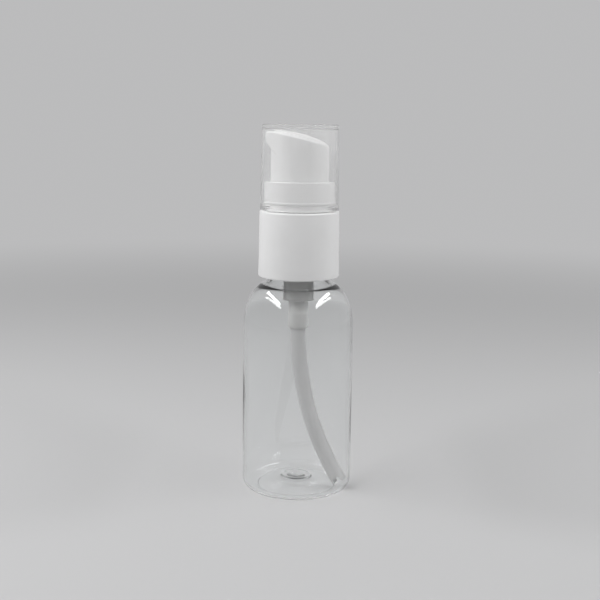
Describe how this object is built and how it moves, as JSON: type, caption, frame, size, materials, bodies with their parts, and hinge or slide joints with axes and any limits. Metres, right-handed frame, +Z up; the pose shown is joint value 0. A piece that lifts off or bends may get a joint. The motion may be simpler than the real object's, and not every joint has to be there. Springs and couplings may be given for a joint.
{
  "type": "treatment pump dispenser bottle",
  "caption": "Small clear bottle with a screw-on lotion pump: beaked finger actuator in a guide collar, smooth closure, dip tube and clear overcap.",
  "frame": {"origin": "centre of the bottle's foot, on the surface it stands on", "axes": "+Z up the bottle's axis; the nozzle points along -X; the dip tube's foot is on the +X side"},
  "size_m": [0.0338, 0.0338, 0.1116],
  "materials": {
    "clear_pet": "clear, blown, glossy",
    "clear_styrene": "clear moulded, slightly hazy",
    "white_polypropylene": "white, satin moulded",
    "natural_polypropylene": "undyed, translucent",
    "soft_polyethylene": "undyed, waxy",
    "tube_polyethylene": "milky, extruded",
    "stainless_steel": "bright drawn"
  },
  "bodies": {
    "bottle_body": {"bottle": "clear_pet"},
    "pump": {"housing": "natural_polypropylene", "guide_collar": "white_polypropylene", "stem_guide": "natural_polypropylene", "neck_gasket": "soft_polyethylene", "dip_tube": "tube_polyethylene", "return_spring": "stainless_steel"},
    "closure_ring": {"closure": "white_polypropylene"},
    "stem": {"main_stem": "natural_polypropylene", "piston_rod": "natural_polypropylene"},
    "head": {"actuator": "white_polypropylene"},
    "piston_seal": {"piston": "soft_polyethylene"},
    "ball": {"inlet_ball": "stainless_steel"},
    "hood": {"overcap": "clear_styrene"}
  },
  "joints": [
    {"name": "pump_lift", "type": "slide", "parent": "bottle_body", "child": "pump", "axis": [0, 0, 1], "range_m": [0, 0.00476]},
    {"name": "closure_turn", "type": "hinge", "parent": "pump", "child": "closure_ring", "pos_m": [0, 0, 0.0661], "axis": [0, 0, 1], "range_deg": [0, 540]},
    {"name": "overcap_pull", "type": "slide", "parent": "pump", "child": "hood", "axis": [0, 0, 1], "range_m": [0, 0.028]},
    {"name": "actuator_press", "type": "slide", "parent": "pump", "child": "stem", "axis": [0, 0, -1], "range_m": [0, 0.0055], "stiffness_N_per_m": 1800, "springref_m": -0.0044, "deforming": ["return_spring"]},
    {"name": "actuator_swivel", "type": "hinge", "parent": "stem", "child": "head", "pos_m": [0, 0, 0.0931], "axis": [0, 0, 1], "continuous": true},
    {"name": "piston_slip", "type": "slide", "parent": "stem", "child": "piston_seal", "axis": [0, 0, 1], "range_m": [0, 0.0008]},
    {"name": "ball_lift", "type": "slide", "parent": "pump", "child": "ball", "axis": [0, 0, 1], "range_m": [0, 0.0008]}
  ],
  "couplings": [
    {"joint": "pump_lift", "follows": "closure_turn", "m_per_rad": 0.00050531}
  ]
}
